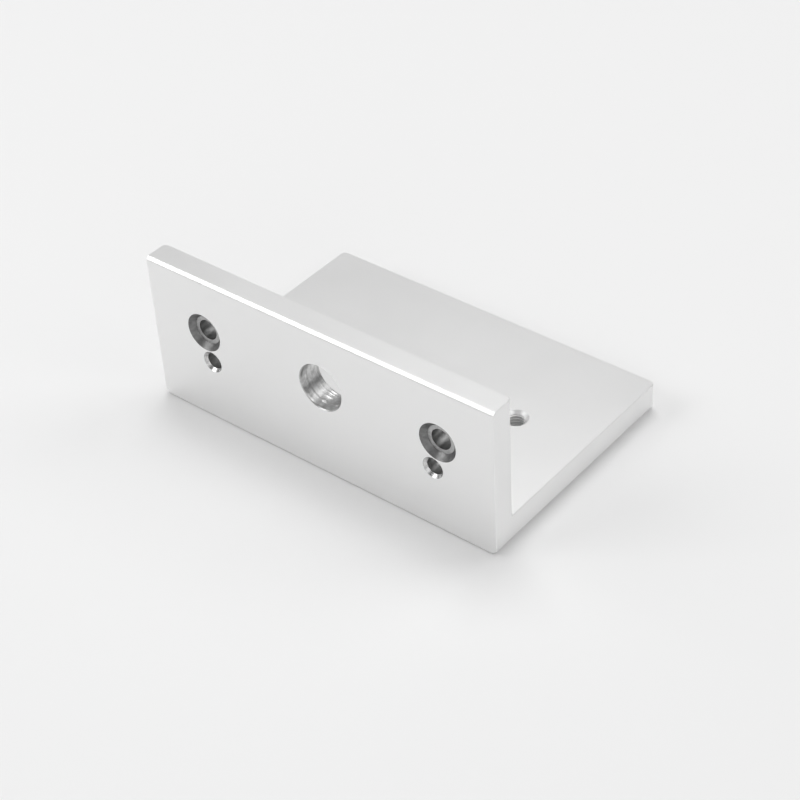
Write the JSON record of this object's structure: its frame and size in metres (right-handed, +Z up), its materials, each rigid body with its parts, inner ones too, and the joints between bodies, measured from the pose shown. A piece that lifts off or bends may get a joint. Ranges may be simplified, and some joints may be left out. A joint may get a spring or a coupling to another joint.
{
  "type": "angle bracket",
  "caption": "L-shaped aluminium angle bracket machined from one block: an upright flange with countersunk, tapped and plain holes on a flat base plate with tapped holes.",
  "frame": {"origin": "centre of the bounding box in plan, on the underside of the base", "axes": "+X along the flange to the end where flange and base are flush, +Y from the flange's front face to the back of the base, +Z up"},
  "size_m": [0.1, 0.063, 0.04],
  "materials": {
    "satin_aluminium": "satin, fine machined surface under a clear anodised skin"
  },
  "bodies": {
    "root": {"angle_bracket": "satin_aluminium"}
  },
  "joints": []
}
